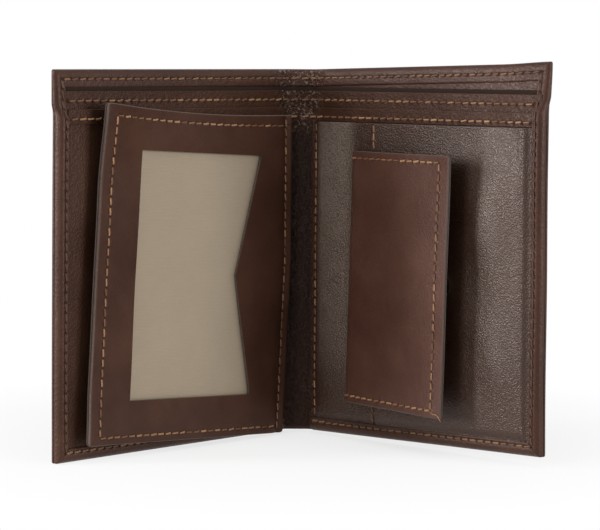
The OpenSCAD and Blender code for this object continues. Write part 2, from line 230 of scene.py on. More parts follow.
def slab(name, side, uLines, vLines, shape, hole=(0, 0, 0, 0), cutRim=False, seams=(), paints=None):
    # a closed sheet: shape(u, v, distance from the edge) gives its back and front as points.
    # The outer border is shared by both faces. A hole has a cut wall (material 1), as has the
    # rim on request, but for its first side.
    u, v = np.meshgrid(uLines, vLines, indexing="ij")
    (u0, u1), (v0, v1) = uLines[[0, -1]], vLines[[0, -1]]
    rimDistance = np.minimum(np.minimum(u - u0, u1 - u), np.minimum(v - v0, v1 - v))
    back, front = shape(u, v, rimDistance)
    nu, nv = u.shape
    i, j = np.indices((nu, nv))
    i0, i1, j0, j1 = hole
    kept = ~((i > i0) & (i < i1) & (j > j0) & (j < j1))
    own = kept & (i > 0) & (j > 0) & (i < nu - 1) & (j < nv - 1)
    frontIndex = np.full((nu, nv), -1)
    frontIndex[kept] = np.arange(kept.sum())
    backIndex = frontIndex.copy()
    backIndex[own] = np.arange(own.sum()) + kept.sum()
    points = np.concatenate([front[kept], back[own]])
    flat = np.stack([u, v], -1)
    uvs = np.concatenate([flat[kept], flat[own]])
    faces, tags = [], []
    for a, b in itertools.product(range(nu - 1), range(nv - 1)):
        if i0 <= a < i1 and j0 <= b < j1:
            continue
        ring = ((a, b), (a + 1, b), (a + 1, b + 1), (a, b + 1))
        faces.append(tuple(int(frontIndex[k]) for k in ring))
        faces.append(tuple(int(backIndex[k]) for k in reversed(ring)))
        uMid, vMid = (u[a, b] + u[a + 1, b]) / 2, (v[a, b] + v[a, b + 1]) / 2
        tags += [int(cutRim and min(u1 - uMid, vMid - v0, v1 - vMid) < 0.2)] * 2
    rim = [(a, j0) for a in range(i0, i1)] + [(i1, b) for b in range(j0, j1)]
    rim += [(a, j1) for a in range(i1, i0, -1)] + [(i0, b) for b in range(j1, j0, -1)]
    for here, there in zip(rim, rim[1:] + rim[:1]):
        faces.append(tuple(int(k) for k in (frontIndex[there], frontIndex[here],
                                            backIndex[here], backIndex[there])))
        tags.append(1)
    obj = makeObject(name, points, faces, uvs, flip=side > 0, tags=tags)
    if seams:
        markSeams(obj, *uvs.T, seams)
    for label, rule in (paints or {}).items():
        paint(obj, label, rule(*uvs.T))
    return obj


def spineCrinkle(t, z):
    # the leather is crinkled at the head of the spine, where it bends most
    return smooth(z, 97, 106) * (1 - smooth(t, 7, 12)) + 0.35 * (1 - smooth(t, 5, 10))


def spineShade(t, z):
    # painted shade: below its head the spine lies in a dark well, so the leather's colour is darkened
    # there, a little less towards the bottom
    return (1 - smooth(t, 4.5, 7.5)) * (1 - 0.95 * smooth(z, 98, 103)) * (0.7 + 0.3 * smooth(z, 5, 45))


def seamDip(distance, depth=0.14):
    return depth * bump(distance, 0, 0.42)


def creaseBlend(obj):
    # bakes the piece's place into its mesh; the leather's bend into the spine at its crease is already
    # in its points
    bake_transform(obj)


def hingeBlend(obj, hinge):
    # finds the direction square to the leaf's or flap's hinge, which nothing uses, and bakes the
    # sheet's place into its mesh
    bodyA, bodyB, joint, side, reach = hinges[hinge]
    inwards = Vector((-side * math.sin(cover["fold"]), -math.cos(cover["fold"]), 0))
    along = inwards.cross(Vector(joint["axis"])).normalized()
    if along.x * side < 0:
        along = -along
    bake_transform(obj)


# Materials
def feed(tree, socket, value):
    # links what comes from another node, and sets a plain value
    if isinstance(value, bpy.types.NodeSocket):
        tree.links.new(value, socket)
    else:
        socket.default_value = value


def addNode(tree, kind, inputs=None, **settings):
    node = tree.nodes.new(kind)
    for key, value in settings.items():
        setattr(node, key, value)
    for key, value in (inputs or {}).items():
        feed(tree, node.inputs[key], value)
    return node


def mathNode(tree, operation, a, b=0.0, clamp=False):
    node = addNode(tree, "ShaderNodeMath", {0: a, 1: b}, operation=operation, use_clamp=clamp)
    return node.outputs[0]


def sums(tree):
    # shorthands for adding, subtracting and multiplying in one tree
    return (lambda a, b, kind=kind: mathNode(tree, kind, a, b)
            for kind in ("ADD", "SUBTRACT", "MULTIPLY"))


def remap(tree, value, low, high, toLow=0.0, toHigh=1.0):
    return addNode(tree, "ShaderNodeMapRange", {
        "Value": value, "From Min": low, "From Max": high, "To Min": toLow,
        "To Max": toHigh}).outputs[0]


def rgba(colour, share=1.0):
    return (*(share * c for c in colour), 1)


def mixColour(tree, factor, a, b):
    return addNode(tree, "ShaderNodeMix", {0: factor, 6: a, 7: b}, data_type="RGBA").outputs[2]


def noiseNode(tree, vector, scale, detail=3.0, rough=0.55, distortion=0.0):
    return addNode(tree, "ShaderNodeTexNoise", {
        "Vector": vector, "Scale": scale, "Detail": detail, "Roughness": rough,
        "Distortion": distortion}).outputs["Fac"]


def painted(tree, name):
    return addNode(tree, "ShaderNodeAttribute", attribute_name=name).outputs["Fac"]


def objectPlace(tree):
    return tree.nodes.new("ShaderNodeTexCoord").outputs["Object"]


def newMaterial(name):
    material = bpy.data.materials.new(name)
    material.use_nodes = True
    return material, material.node_tree, material.node_tree.nodes["Principled BSDF"]


def finishSurface(tree, shader, colour, height, strength, distance, **values):
    # links a material's colour and relief, and sets or links its other values
    relief = addNode(tree, "ShaderNodeBump", {
        "Strength": strength, "Distance": distance, "Height": height})
    feed(tree, shader.inputs["Base Color"], colour)
    feed(tree, shader.inputs["Normal"], relief.outputs["Normal"])
    names = {"roughness": "Roughness", "metallic": "Metallic", "sheen": "Sheen Weight",
             "specular": "Specular IOR Level", "tint": "Specular Tint"}
    for key, value in values.items():
        feed(tree, shader.inputs[names[key]], value)


def buildLeatherGroup():
    tree = bpy.data.node_groups.new("leatherSurface", "ShaderNodeTree")
    for label, value in (("Pebble Size", 0.7), ("Pebble Depth", 1.0), ("Wrinkles", 0.3)):
        socket = tree.interface.new_socket(label, in_out="INPUT", socket_type="NodeSocketFloat")
        socket.default_value = value
    source, sink = tree.nodes.new("NodeGroupInput"), tree.nodes.new("NodeGroupOutput")
    add, subtract, times = sums(tree)
    where = objectPlace(tree)

    def folds(*settings, width):
        # lines along which a noise passes its middle
        away = mathNode(tree, "ABSOLUTE", subtract(noiseNode(tree, where, *settings), 0.5))
        return remap(tree, away, 0.0, width, 1.0, 0.0)

    warp = addNode(tree, "ShaderNodeTexNoise", {"Vector": where, "Scale": 420.0, "Detail": 2.0})
    shift = warp.outputs["Color"]
    for operation, inputs in (("SUBTRACT", {1: (0.5, 0.5, 0.5)}), ("SCALE", {"Scale": 0.0011}),
                              ("ADD", {1: where})):
        shift = addNode(tree, "ShaderNodeVectorMath", {0: shift, **inputs},
                        operation=operation).outputs[0]
    cells = addNode(tree, "ShaderNodeTexVoronoi", {
        "Vector": shift, "Scale": mathNode(tree, "DIVIDE", 1000.0, source.outputs["Pebble Size"]),
        "Smoothness": 0.35}, feature="SMOOTH_F1").outputs["Distance"]
    valley = remap(tree, cells, 0.3, 0.75)
    crinkle = painted(tree, "crinkle")
    crushed = times(folds(560.0, 2.0, 0.55, 1.2, width=0.12), crinkle)
    near = painted(tree, "seamNear")
    beat = mathNode(tree, "COSINE", times(painted(tree, "seamPhase"), 2 * math.pi))
    pucker = times(mathNode(tree, "POWER", remap(tree, beat, -1.0, 1.0), 2.0), near)
    height = subtract(subtract(1.0, times(valley, source.outputs["Pebble Depth"])),
                      times(folds(260.0, 4.0, 0.6, 0.7, width=0.09), source.outputs["Wrinkles"]))
    height = subtract(height, times(crushed, 7.0))
    height = add(height, times(noiseNode(tree, where, 2600.0, 2.0), 0.22))
    height = subtract(height, times(pucker, 4.0))
    mottle = noiseNode(tree, where, 38.0, 4.0, 0.6)
    gloss = subtract(noiseNode(tree, where, 95.0, 3.0, 0.5), times(crinkle, 0.6))
    hole = times(remap(tree, beat, 0.7, 0.96), remap(tree, near, 0.55, 0.95))
    # paler in patches on the ridges of the grain, where it is worn and where sheen is painted, and
    # painted glints in specks where the spine is crinkled
    wearSheen = times(painted(tree, "wearAndSheen"), remap(tree, mottle, 0.3, 0.6, 0.55, 1.0))
    wearSheen = times(wearSheen, subtract(1.0, times(valley, 0.6)))
    # painted glints: pale specks on the crinkled head of the spine
    paintedGlints = times(remap(tree, noiseNode(tree, where, 1000.0, 2.0), 0.56, 0.64),
                   remap(tree, crinkle, 0.5, 1.0))
    wearSheen = mathNode(tree, "MAXIMUM", wearSheen, paintedGlints)
    for label, value in (("Height", height), ("Mottle", mottle), ("Valley", valley),
                         ("Gloss", gloss), ("Crushed", crushed), ("Hole", hole),
                         ("Spine", painted(tree, "spineShade")), ("Wear And Sheen", wearSheen)):
        tree.interface.new_socket(label, in_out="OUTPUT", socket_type="NodeSocketFloat")
        tree.links.new(value, sink.inputs[label])
    return tree


leatherGroup = buildLeatherGroup()
wearAndSheenColour = (0.17, 0.132, 0.108)  # pale colour of worn grain and of painted sheen and glints


def leather(name, dark, light, pebble, depth, wrinkles, bump, rough, specular,
            tint=(1.0, 0.8, 0.76)):
    material, tree, shader = newMaterial(name)
    grain = addNode(tree, "ShaderNodeGroup", node_tree=leatherGroup)
    for label, value in (("Pebble Size", pebble), ("Pebble Depth", depth), ("Wrinkles", wrinkles)):
        grain.inputs[label].default_value = value
    add, _, times = sums(tree)
    colour = mixColour(tree, remap(tree, grain.outputs["Mottle"], 0.3, 0.72), rgba(dark), rgba(light))
    # darker in the grain's valleys, the crushed creases and the needle holes, and with painted shade
    # in the spine's well
    for label, share, deep in (("Valley", 0.4 * depth, 0.4), ("Crushed", 0.12, 0.5),
                               ("Spine", 0.85, 0.2), ("Hole", 0.9, 0.1)):
        colour = mixColour(tree, times(grain.outputs[label], share), colour, rgba(dark, deep))
    # paler where the grain is worn and where sheen and glints are painted
    colour = mixColour(tree, grain.outputs["Wear And Sheen"], colour, rgba(wearAndSheenColour))
    roughness = remap(tree, grain.outputs["Gloss"], -0.1, 0.7, 2 * rough[0] - rough[1], rough[1])
    roughness = add(roughness, times(grain.outputs["Valley"], 0.15))
    finishSurface(tree, shader, colour, grain.outputs["Height"], bump, 0.0002,
                  roughness=roughness, specular=specular, tint=rgba(tint))
    return material


def plain(name, dark, light, size, roughness, bump=0.3, metallic=0.0):
    # a finish with fine mottling, for cut edges, board and metal
    material, tree, shader = newMaterial(name)
    speck = noiseNode(tree, objectPlace(tree), 1000.0 / size, 4.0, 0.65)
    colour = mixColour(tree, remap(tree, speck, 0.3, 0.7), rgba(dark), rgba(light))
    finishSurface(tree, shader, colour, speck, bump, 0.0001, roughness=roughness,
                  metallic=metallic)
    return material


def buildTwill(name, pitch, dark, light, lean=0.5, sheen=0.0, specular=0.1):
    # diagonal ribs of a twill weave, in the sheet's own millimetres
    material, tree, shader = newMaterial(name)
    add, _, times = sums(tree)
    uv = tree.nodes.new("ShaderNodeUVMap").outputs["UV"]
    across, up = addNode(tree, "ShaderNodeSeparateXYZ", {0: uv}).outputs[:2]
    turns = 2000 * math.pi / pitch
    ribs = mathNode(tree, "SINE", times(add(across, times(up, lean)), turns))
    steps = mathNode(tree, "SINE", times(up, turns / 0.8))
    weave = add(add(times(ribs, 0.4), 0.5), times(steps, 0.07))
    thin = addNode(tree, "ShaderNodeMapping", {"Vector": uv, "Scale": (0.12, 1.0, 1.0)}).outputs[0]
    weave = add(weave, times(noiseNode(tree, thin, 1500.0, 3.0), 0.18))
    colour = mixColour(tree, remap(tree, weave, 0.2, 1.0), rgba(dark), rgba(light))
    stain = remap(tree, noiseNode(tree, uv, 45.0, 3.0), 0.35, 0.75, 0.0, 0.35)
    colour = mixColour(tree, stain, colour, rgba(light, 0.86))
    # painted shade beside the window's leather edge
    colour = mixColour(tree, painted(tree, "windowEdgeShade"), colour, rgba(dark, 0.22))
    finishSurface(tree, shader, colour, weave, 0.5, 0.00012, roughness=0.82, specular=specular,
                  sheen=sheen)
    return material


def buildThread(name, dark, light):
    # twisted sewing thread; each stitch has its own tone
    material, tree, shader = newMaterial(name)
    add, subtract, times = sums(tree)
    fuzz = noiseNode(tree, objectPlace(tree), 3200.0, 2.0)
    tone = add(times(painted(tree, "stitchTone"), 0.7), times(fuzz, 0.5))
    tone = subtract(tone, times(painted(tree, "stitchEnd"), 0.7))
    colour = mixColour(tree, remap(tree, tone, 0.2, 1.0), rgba(dark), rgba(light))
    finishSurface(tree, shader, colour, fuzz, 0.6, 0.0001, roughness=0.6, specular=0.3)
    return material


glossy = (0.28, 0.38)
shellLeather = leather("shellLeather", (0.032, 0.012, 0.007), (0.064, 0.028, 0.016), pebble=0.8,
                       depth=0.4, wrinkles=0.4, bump=0.42, rough=glossy, specular=0.22)
innerLeather = leather("innerLeather", (0.032, 0.013, 0.007), (0.062, 0.029, 0.017), pebble=0.7,
                       depth=0.5, wrinkles=0.4, bump=0.5, rough=glossy, specular=0.14)
pocketLeather = leather("pocketLeather", (0.033, 0.014, 0.009), (0.052, 0.025, 0.015), pebble=0.5,
                        depth=0.9, wrinkles=0.2, bump=0.5, rough=(0.21, 0.29), specular=0.4,
                        tint=(1.0, 0.88, 0.83))
leafLeather = leather("leafLeather", (0.031, 0.012, 0.007), (0.071, 0.031, 0.018), pebble=0.5,
                      depth=0.25, wrinkles=0.2, bump=0.28, rough=glossy, specular=0.2)
flapLeather = leather("flapLeather", (0.052, 0.020, 0.013), (0.094, 0.043, 0.029), pebble=0.5,
                      depth=0.35, wrinkles=0.3, bump=0.38, rough=glossy, specular=0.3)
cutLeather = plain("cutLeather", (0.055, 0.034, 0.025), (0.125, 0.085, 0.065), 0.5, 0.7)
edgePaint = plain("edgePaint", (0.034, 0.018, 0.013), (0.070, 0.043, 0.031), 0.8, 0.55)
liningCloth = buildTwill("liningCloth", 0.5, (0.018, 0.010, 0.008), (0.034, 0.020, 0.015))
windowTwill = buildTwill("windowTwill", 0.55, (0.235, 0.185, 0.132), (0.455, 0.372, 0.268), 0.8,
                         sheen=0.15, specular=0.25)
threadTan = buildThread("threadTan", (0.125, 0.055, 0.026), (0.45, 0.245, 0.125))
threadDim = buildThread("threadDim", (0.07, 0.033, 0.019), (0.23, 0.125, 0.064))
greyBoard = plain("greyBoard", (0.2, 0.15, 0.11), (0.3, 0.24, 0.18), 1.5, 0.9)
brass = plain("brass", (0.11, 0.08, 0.05), (0.17, 0.125, 0.08), 2.0, 0.38, 0.1, 1.0)
print("materials made")


def finishPiece(obj, nodes, materials):
    for material in materials:
        obj.data.materials.append(material)
    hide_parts(*nodes)
    return obj


# Shell: one leather turned over the layers inside at its bottom, free edge and top
shell = {
    "wall": 1.0,
    "hem": 0.8,
    "width": {"side": 3.8, "bottom": 4.5, "top": 5.5},  # of the turned edges
    "seam": {"side": 2.6, "bottom": 3.3, "top": 3.0},
    "pile": 4.05,  # depth of the turned edge over the inner panel
    "thinPile": 2.5,  # the same above the inner panel
    "cornerPile": 2.0,
    "topPile": 1.75,
    "panelTop": 107.5,
    "tuckT": 7.3,  # nearer the spine the lower edge is tucked under the panel
    "cornerRadius": 0.6,
    "inset": 2.1,  # the turned edge's strip ends at this multiple of its width
    "groove": 0.3,
    "roll": 0.6,
    "faceRoll": 1.7,
    "curl": 0.5,  # the right cover's upper corner curls up
    "flare": 0.5,
    "mitre": 0.3,  # depth of the line where two turned edges meet
}
edgePoint = 20  # the profile's point on the very edge
shellTopEnd = edgeT - shell["width"]["side"] + 0.6


def pileAt(edge, t, z):
    # depth of the turned edge's face along the bottom, the side and the top
    if edge == "bottom":
        rise = smooth(t, shell["tuckT"] - 0.25, shell["tuckT"] + 0.25)
        return shell["topPile"] + (shell["pile"] - shell["topPile"]) * rise
    if edge == "side":
        step = smooth(z, shell["panelTop"] - 3, shell["panelTop"] + 1.5)
        high = smooth(z, shell["panelTop"] + 4, cover["height"] - 2)
        thin = shell["thinPile"] - (shell["thinPile"] - shell["cornerPile"]) * high
        return shell["pile"] + (thin - shell["pile"]) * step
    inner = smooth(edgeT - t, 2, 9)
    return shell["cornerPile"] + (shell["topPile"] - shell["cornerPile"]) * inner


def thickShare(pile):
    # 0 where the turned edge lies flat, 1 where it covers a thick pile
    return max(0.0, min(1.0, (pile - 1.8) / 2))


def shellRows():
    # the rows of stitches that hold the shell's turned edges
    seam = shell["seam"]
    far, high = edgeT - seam["side"], cover["height"] - seam["top"]
    return [("v", high, 0.2, shellTopEnd), ("v", seam["bottom"], shell["tuckT"] + 0.8, far),
            ("u", far, seam["bottom"], high)]


def shellProfile():
    # (distance from the edge on the side's scale, kind, share): outer face round to the inner one
    end = shell["inset"] * shell["width"]["side"]
    outer = (end, 6.4, 5.0, 3.8, 3.2, 2.95, 2.79, 2.6, 2.42, 2.24, 2.07, 1.9, 1.7, 1.4)
    points = [(a, "out", 0.0) for a in outer]
    for turn in np.linspace(0, math.pi / 2, 6):
        points.append((shell["roll"] * (1 - math.sin(turn)), "pile", 0.15 * (1 - math.cos(turn))))
    points += [(0.0, "pile", 0.2), (0.02, "pile", 0.24), (0.12, "groove", 0.28),
               (1.0, "groove", 0.31), (1.0, "groove", 0.33), (0.12, "groove", 0.37)]
    for turn in np.linspace(0, math.pi / 2, 8):
        points.append((0.03 + shell["faceRoll"] * (1 - math.cos(turn)), "pile",
                       0.42 + 0.58 * math.sin(turn)))
    points += [(float(a), "face", 1.0) for a in np.arange(1.9, 3.5, 0.15)]
    points += [(3.6, "face", 0.99), (3.72, "face", 0.965), (3.8, "face", 0.9)]
    points += [(a, "under", 0.0) for a in (3.8, 3.6, 2.6, 1.4)] + [(1.0, "middle", 0.5)]
    return points + [(a, "wall", 0.0) for a in (1.4, 2.6, 5.0, end)]


def shellPoint(side, t, n, z):
    # the shell has given way in soft waves, and is wrinkled at the spine
    s = t - creaseT
    t = t + shell["flare"] * smooth(z, 107, 110) * smooth(s, 85, 97)
    if side > 0:
        z = z + shell["curl"] * smooth(s, 80, 97) * smooth(z, 100, 120)
        n = n - 0.8 * smooth(s, 82, 97) * smooth(z, 104, 120)
    s = np.maximum(t - creaseT, 0)
    n = n + 0.25 * waves(s, z, 70, 11 + side) * smooth(s, 5, 30)
    n = n + 0.16 * waves(t * 2.2, z, 9, 21 + side) * (1 - smooth(t, 4, 9))
    return place(side, t, n, z, "full")


def shellStation(edge, f, start, profile):
    # one ring of the turned edge's strip, as (t, n, z) with the places for its UV map
    height, side = cover["height"], shell["width"]["side"]
    points, uvs = [], []
    for m, (a, kind, share) in enumerate(profile):
        p = a / side
        far, low, high = edgeT - a, p * shell["width"]["bottom"], height - p * shell["width"]["top"]
        radius = max(shell["cornerRadius"] - a, 0)
        if edge == "side":
            t, z = far, low + f * (high - low)
            corners = ((z - low, low, 1), (high - z, high, -1))
        else:
            t, z = start + f * (far - start), low if edge == "bottom" else high
            corners = ((far - t, z, 1 if edge == "bottom" else -1),)
        pile = float(pileAt(edge, t, z))
        for near, corner, sign in corners:
            if near < radius:
                turn = math.pi / 4 * (1 - near / radius)
                turn = math.pi / 2 - turn if edge == "side" else turn
                t = far - radius + radius * math.sin(turn)
                z = corner + sign * (radius - radius * math.cos(turn))
        under = pile - min(shell["hem"], pile - shell["wall"] - 0.05)
        n = {"out": 0.0, "wall": shell["wall"], "under": under,
             "middle": (under + shell["wall"]) / 2}.get(kind, pile * share)
        if kind == "face":
            dip = float(seamDip(p * shell["width"][edge] - shell["seam"][edge]))
            n -= dip * (0.5 + 0.5 * thickShare(pile))
            mitre = (edgeT - t) / side - z / shell["width"]["bottom"]
            n -= shell["mitre"] * math.exp(-((2.9 * mitre / 0.22) ** 2)) * (z < 6)
        uvs.append((t, z + n))
        if m == edgePoint:
            rim = (t, z)
        if kind == "groove":
            # the groove is pressed in, square to the edge
            push = 0.02 + shell["groove"] * min(a, 1.0) * thickShare(float(pileAt(edge, t, z)))
            aside, up = {"bottom": (0, 1), "side": (1, 0), "top": (0, -1)}[edge]
            t, z = rim[0] - aside * push, rim[1] + up * push
        points.append((t, n, z))
    return points, uvs


def shellField(points, uvs, counts, ring, m, lines, start, n):
    # joins a flat field to the strip's inner border, and returns its point numbers
    nb, ns = counts
    inset, width = shell["inset"], shell["width"]
    far, low = edgeT - inset * width["side"], inset * width["bottom"]
    high = cover["height"] - inset * width["top"]
    index = [[0] * ns for _ in range(nb)]
    for i, j in itertools.product(range(nb), range(ns)):
        if j == 0:
            index[i][j] = i * ring + m
        elif i == nb - 1:
            index[i][j] = (nb - 1 + j) * ring + m
        elif j == ns - 1:
            index[i][j] = (nb + ns - 2 + (nb - 1 - i)) * ring + m
        else:
            t = start + (lines[0][i] - start) / (edgeT - start) * (far - start)
            z = low + lines[1][j] / cover["height"] * (high - low)
            index[i][j] = len(points)
            points.append((t, n, z))
            uvs.append((t, z))
    return index


def buildShell(side):
    start = -cover["overlap"]
    tLines = denser(gridLines(start, edgeT, 2.4, [shell["tuckT"]]), 0.4, 11, 0.5)
    zLines = gridLines(0, cover["height"], 1.5, [shell["panelTop"] - 1])
    along = (tLines - start) / (edgeT - start)
    stations = [("bottom", f) for f in along]
    stations += [("side", f) for f in zLines[1:] / cover["height"]]
    stations += [("top", f) for f in along[::-1][1:]]
    profile = shellProfile()
    count, ring = len(stations), len(profile)
    points, uvs, faces, tags = [], [], [], []
    for edge, f in stations:
        madePoints, madeUvs = shellStation(edge, f, start, profile)
        points += madePoints
        uvs += madeUvs
    kinds = [kind for _, kind, _ in profile]
    lip = [kinds.index("under") - k for k in (1, 2, 3)]
    for k, m in itertools.product(range(count - 1), range(ring - 1)):
        a, b = k * ring + m, (k + 1) * ring + m
        faces.append((a, a + 1, b + 1, b))
        # the cut lip of the right cover's lower hem shows
        tags.append(int(side > 0 and m in lip and stations[k][0] == "bottom"
                        and shell["tuckT"] < points[k * ring][0] < edgeT - 4))
    counts = nb, ns = len(tLines), len(zLines)
    lines = (tLines, zLines)
    outer = shellField(points, uvs, counts, ring, 0, lines, start, 0.0)
    inner = shellField(points, uvs, counts, ring, ring - 1, lines, start, shell["wall"])
    for i, j in itertools.product(range(nb - 1), range(ns - 1)):
        faces.append((outer[i][j], outer[i + 1][j], outer[i + 1][j + 1], outer[i][j + 1])[::-1])
        faces.append((inner[i][j], inner[i + 1][j], inner[i + 1][j + 1], inner[i][j + 1]))
    for j in range(ns - 1):
        faces.append((outer[0][j], inner[0][j], inner[0][j + 1], outer[0][j + 1])[::-1])
    last = (count - 1) * ring
    faces += [tuple(range(ring))[::-1], tuple(range(last, last + ring))]
    tags += [0] * (len(faces) - len(tags))
    coords = np.array(points)
    t, n, z = coords.T
    obj = makeObject("shell_" + sideName[side] + "_leather", shellPoint(side, t, n, z), faces, uvs,
                     flip=side < 0, tags=tags)
    outwards(obj)
    paint(obj, "crinkle", spineCrinkle(t, z) * (0.15 + 0.85 * smooth(n, 0.2, 1.0)))
    onHem = np.zeros(len(coords))
    onHem[:count * ring] = np.tile([kind == "face" or (kind == "out" and a < 3.5)
                                    for a, kind, _ in profile], count)
    markSeams(obj, t, z, shellRows(), onHem)
    creaseBlend(obj)
    finishPiece(obj, ["shell_" + sideName[side], "shell_spine"],
                [shellLeather, edgePaint])


for side in sideName:
    buildShell(side)
print("shell made")

# Flat layers from the shell inwards; all but the board run across the spine
layers = {
    "board": {"n": 1.05, "t": 0.3, "low": 1.05, "high": 107.0, "start": 2.5},
    "lining": {"n": 1.4, "t": 0.3, "low": 4.7, "high": 114.3},
    "divider": {"n": 1.9, "t": 0.5, "low": 4.7, "high": 113.0, "seam": 110.0},
    "panel": {"n": 2.6, "t": 0.6, "low": 1.3, "high": 107.4},
    "band": {"n": 3.18, "t": 0.52, "low": 103.0, "high": 107.5, "end": 93.6, "seam": 104.5},
}
layerFinish = {"board": ("stiffening_board", greyBoard), "lining": ("lining_cloth", liningCloth)}


def layerRelief(name, side, t, z):
    # unevenness of a layer, away from where it is held
    seed = 40 + 3 * list(layers).index(name) + side
    s = np.maximum(t - creaseT, 0)
    n = 0.12 * waves(t, z, 55, seed) * smooth(s, 2, 20) * (1 - smooth(s, 80, 92))
    return n + 0.10 * waves(t * 2.5, z * 0.6, 9, seed + 50) * (1 - smooth(t, 5, 9))


def buildLayer(name, side):
    layer = layers[name]
    start = creaseT + layer["start"] if "start" in layer else -cover["overlap"]
    end = creaseT + layer.get("end", 95.9)
    seams = [layer["seam"]] if "seam" in layer else []
    uLines = denser(gridLines(start, end, 1.6), 0.4, 11, 0.5)
    uLines = uLines[(uLines >= start) & (uLines <= end)]
    vLines = gridLines(layer["low"], layer["high"], 2.4, seams)
    half = layer["t"] / 2

    def shape(u, v, distance):
        mid = layer["n"] + half + layerRelief(name, side, u, v)
        thick = half * edgeProfile(distance, 0.14)
        dip = sum(seamDip(v - seam) * 0.8 for seam in seams)
        return place(side, u, mid - thick, v), place(side, u, mid + thick - dip, v)

    obj = slab(name + "_" + sideName[side] + "_sheet", side, uLines, vLines, shape,
               paints={"crinkle": spineCrinkle, "spineShade": spineShade},
               seams=[("v", seam, 0.2, creaseT + cover["seamEnd"]) for seam in seams])
    node = "panel" if name == "band" else name
    nodes = [node + "_" + sideName[side]]
    if name == "board":
        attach(obj, sideName[side] + "_cover")
    else:
        creaseBlend(obj)
        nodes.append(node + "_spine")
    slotName, material = layerFinish.get(name, ("inner_leather", innerLeather))
    finishPiece(obj, nodes, [material])


for side, name in itertools.product(sideName, layers):
    buildLayer(name, side)
print("layers made")

# Coin pocket on the right cover; each of its leathers starts at an s of its own
pocket = {
    "leather": 0.6,
    "low": 3.7,
    "high": 102.95,
    "end": 94.3,
    "mouth": 29.2,
    "bulge": 0.45,
    "tuck": 1.25,  # the front dives this far under the turned edge
    "creases": (90.2, 92.0),  # s of two fine upright creases beside the turned edge
    "gusset": 4.0,  # width of the strip between the leathers
}


def tucked(s, z):
    # how far a point lies under the turned edge, from 0 to 1
    low = 0.72 * (1 - smooth(z, 4.6, 7.2)) + 0.28 * (1 - smooth(z, 6, 17))
    return np.maximum(smooth(s, 90.4, 93.3), low)


def frontRelief(s, z):
    # the front stands away a little where nothing holds it down
    up = smooth(z, 4, 30) * (1 - smooth(z, 80, 102))
    n = pocket["bulge"] * smooth(s, pocket["mouth"], 50) * (1 - smooth(s, 80, 92)) * up
    dents = 0.62 * waves(s * 1.2, z * 0.9, 29, 71) * smooth(z, 9, 24)
    n = n + dents * smooth(s, 66, 75) * (1 - smooth(s, 86, 92)) + 0.5 * bump(s, 80, 7) * up
    for crease in pocket["creases"]:
        n = n - 0.08 * bump(s, crease, 0.35)
    return n - pocket["tuck"] * tucked(s, z)


def backRelief(s, z):
    # the strip between the crease and the flap is a little puffed
    along = np.clip((s - 4.6) / 17, 0, 1)
    puff = np.sin(math.pi * along ** 0.6) * smooth(z, 6, 16)
    n = 0.1 * waves(s, z, 26, 77) * smooth(s, 3, 8) * (1 - smooth(s, 24, 29))
    return n + 1.0 * puff - 0.62 * tucked(s, z)


# The flap hides most of the mouth's seam, so only its ends are sewn
pocketSheets = {
    "back": {"start": 2.62, "n": 3.25, "seam": 1.9, "relief": backRelief,
             "rows": [(5.2, 102.4)], "tones": [-0.2]},
    "mouth": {"start": pocket["mouth"], "n": 4.25, "seam": 1.4, "relief": frontRelief,
              "rows": [(5.6, 11.4), (94.6, 102.4)], "tones": [-1.0, -0.1]},
}


def wearAndSheen(s, z):
    # wear and painted sheen, palest on the strip beside the flap and a little on the outer part
    strip = smooth(s, 4.8, 8) * (1 - smooth(s, 17, 23)) * smooth(z, 8, 40)
    outer = smooth(s, 66, 78) * (1 - smooth(s, 88, 91.5)) * smooth(z, 10, 45)
    return 0.95 * strip * (0.7 + 0.3 * smooth(z, 50, 90)) + 0.22 * outer


def pocketSlab(name, box, step, marks, depth, half, radius, relief, **options):
    sLow, sHigh, zLow, zHigh = box

    def shape(u, v, distance):
        mid, thick = depth + relief(u, v), half * edgeProfile(distance, radius)
        dip = sum(seamDip(u - row[1]) for row in options.get("seams", ())[:1])
        return place(1, creaseT + u, mid - thick, v), place(1, creaseT + u, mid + thick - dip, v)

    obj = slab(name, 1, gridLines(sLow, sHigh, step, marks[0]), gridLines(zLow, zHigh, step, marks[1]),
               shape, **options)
    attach(obj, "right_cover")
    return obj


for name, sheet in pocketSheets.items():
    node = "coin_front" if name == "mouth" else "coin_back"
    seamS, half = sheet["start"] + sheet["seam"], pocket["leather"] / 2
    obj = pocketSlab(node + "_sheet", (sheet["start"], pocket["end"], pocket["low"], pocket["high"]),
                     1.3, ([seamS, *pocket["creases"]], [5.5]), sheet["n"] + half, half, 0.25,
                     sheet["relief"], seams=[("u", seamS, *row) for row in sheet["rows"]],
                     paints={"wearAndSheen": wearAndSheen})
    finishPiece(obj, [node], [pocketLeather])

# the strip sewn in between the pocket's back and front, along its closed sides
inside = pocket["end"] - pocket["gusset"]
low, high = pocket["low"] + 0.3, pocket["high"] - 0.3
for number, box in enumerate(((inside, pocket["end"] - 0.3, low, high),
                              (pocket["mouth"] + 0.3, inside - 0.2, low, low + pocket["gusset"]),
                              (pocket["mouth"] + 0.3, inside - 0.2, high - pocket["gusset"], high))):
    obj = pocketSlab("coin_gusset_strip_" + str(number + 1), box, 3.0, ((), ()), 4.05, 0.15, 0.14,
                     backRelief)
    finishPiece(obj, ["coin_gusset"], [liningCloth])
print("coin pocket made")

